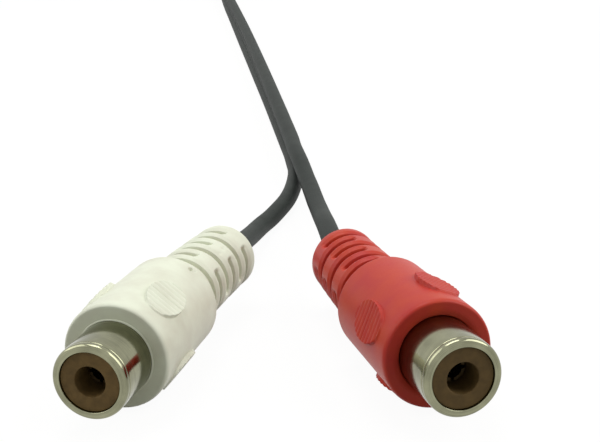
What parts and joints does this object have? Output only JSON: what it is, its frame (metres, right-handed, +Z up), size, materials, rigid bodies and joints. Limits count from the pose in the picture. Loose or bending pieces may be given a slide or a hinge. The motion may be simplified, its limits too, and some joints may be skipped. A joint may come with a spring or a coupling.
{
  "type": "midi audio adapter lead",
  "caption": "Adapter lead that joins inline phono sockets, white and red, to a round multi-pin plug through a black twin lead.",
  "frame": {"origin": "centre of the two phono sockets' box, on the table that they lie on", "axes": "+Y from the sockets' mouths along the lead, +X from the white socket to the red one, +Z up from the table"},
  "size_m": [0.0511, 0.4799, 0.0152],
  "materials": {
    "white_vinyl": "soft ivory vinyl, slightly satin",
    "red_vinyl": "soft red vinyl, slightly satin",
    "lead_vinyl": "matt charcoal vinyl",
    "black_plastic": "matt black moulding",
    "clear_plastic": "milky inner moulding",
    "phenolic": "brown laminated phenolic",
    "nickel": "bright nickel plating, turned",
    "brass": "pressed brass",
    "copper": "bare copper"
  },
  "bodies": {
    "root": {"white_boot": "white_vinyl", "white_shell": "nickel", "white_insulator": "phenolic", "white_contact": "brass", "white_ground_lug": "brass", "white_inner_mould": "clear_plastic", "white_core_wire": "white_vinyl", "white_screen_wire": "copper", "white_crimp": "copper", "red_boot": "red_vinyl", "red_shell": "nickel", "red_insulator": "phenolic", "red_contact": "brass", "red_ground_lug": "brass", "red_inner_mould": "clear_plastic", "red_core_wire": "red_vinyl", "red_screen_wire": "copper", "red_crimp": "copper", "white_strand": "lead_vinyl", "red_strand": "lead_vinyl", "plug_shell": "nickel", "plug_insert": "black_plastic", "plug_pin_1": "nickel", "plug_pin_2": "nickel", "plug_pin_3": "nickel", "plug_pin_4": "nickel", "plug_pin_5": "nickel", "plug_boot": "black_plastic", "plug_crimp": "copper", "plug_white_core": "white_vinyl", "plug_red_core": "red_vinyl", "plug_screen_wire": "copper"}
  },
  "joints": []
}
